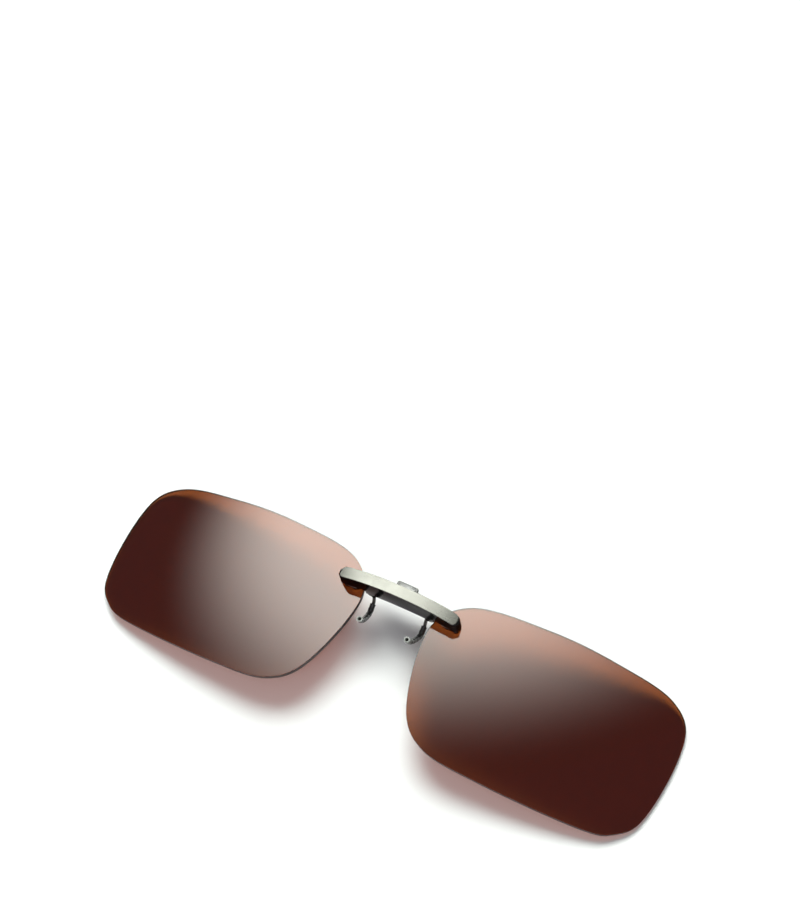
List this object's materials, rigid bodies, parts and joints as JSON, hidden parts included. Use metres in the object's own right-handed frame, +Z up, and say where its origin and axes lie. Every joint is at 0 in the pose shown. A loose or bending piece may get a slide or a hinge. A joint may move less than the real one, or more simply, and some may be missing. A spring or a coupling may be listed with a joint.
{
  "type": "clip-on flip-up sunglass lenses",
  "caption": "Rimless tinted lenses on a slim arched bar that flips up on a hinge block with sprung hooked claws for a spectacle bridge.",
  "frame": {"origin": "centre of the footprint on the table, under the clip lying with its lens fronts up", "axes": "+X to the right along the bar and lenses, +Y towards the brow edge, +Z up out of the lens fronts"},
  "size_m": [0.129, 0.0358, 0.0141],
  "materials": {
    "tinted_lens": "dark brown polarised plastic, polished, with a thin dark edge",
    "clear_plastic": "clear moulded nylon",
    "gunmetal": "dark gunmetal plating, satin",
    "champagne_metal": "pale champagne plating, lightly brushed and polished",
    "steel": "bright turned steel",
    "dark_steel": "dark nickel plating, polished",
    "claw_sleeve": "smoky clear silicone, glossy"
  },
  "bodies": {
    "hinge_base": {"hinge_block": "gunmetal", "detent_spring": "steel", "block_cover": "gunmetal", "right_cover_screw": "steel", "left_cover_screw": "steel", "claw_axle": "steel", "right_torsion_spring": "steel", "left_torsion_spring": "steel"},
    "lens_carrier": {"bridge_bar": "gunmetal", "bridge_face_plate": "champagne_metal", "flip_tab": "champagne_metal", "flip_axle": "steel", "detent_cam": "steel", "right_friction_washer": "steel", "left_friction_washer": "steel", "right_lens": "tinted_lens", "left_lens": "tinted_lens", "right_inner_bushing": "clear_plastic", "left_inner_bushing": "clear_plastic", "right_outer_bushing": "clear_plastic", "left_outer_bushing": "clear_plastic", "right_inner_rivet": "steel", "left_inner_rivet": "steel", "right_outer_rivet": "steel", "left_outer_rivet": "steel", "right_lens_gasket": "clear_plastic", "left_lens_gasket": "clear_plastic", "right_clamp_plate": "gunmetal", "left_clamp_plate": "gunmetal"},
    "claw_unit": {"right_claw": "dark_steel", "left_claw": "dark_steel", "right_claw_sleeve": "claw_sleeve", "left_claw_sleeve": "claw_sleeve", "release_lever": "dark_steel"}
  },
  "joints": [
    {"name": "flip_hinge", "type": "hinge", "parent": "hinge_base", "child": "lens_carrier", "pos_m": [0, 0.0119, 0.0075], "axis": [-1, 0, 0], "range_deg": [0, 90]},
    {"name": "claw_hinge", "type": "hinge", "parent": "hinge_base", "child": "claw_unit", "pos_m": [0, 0.0099, 0.0073], "axis": [1, 0, 0], "range_deg": [0, 22], "stiffness_Nm_per_rad": 0.012, "springref_deg": -28.65}
  ]
}
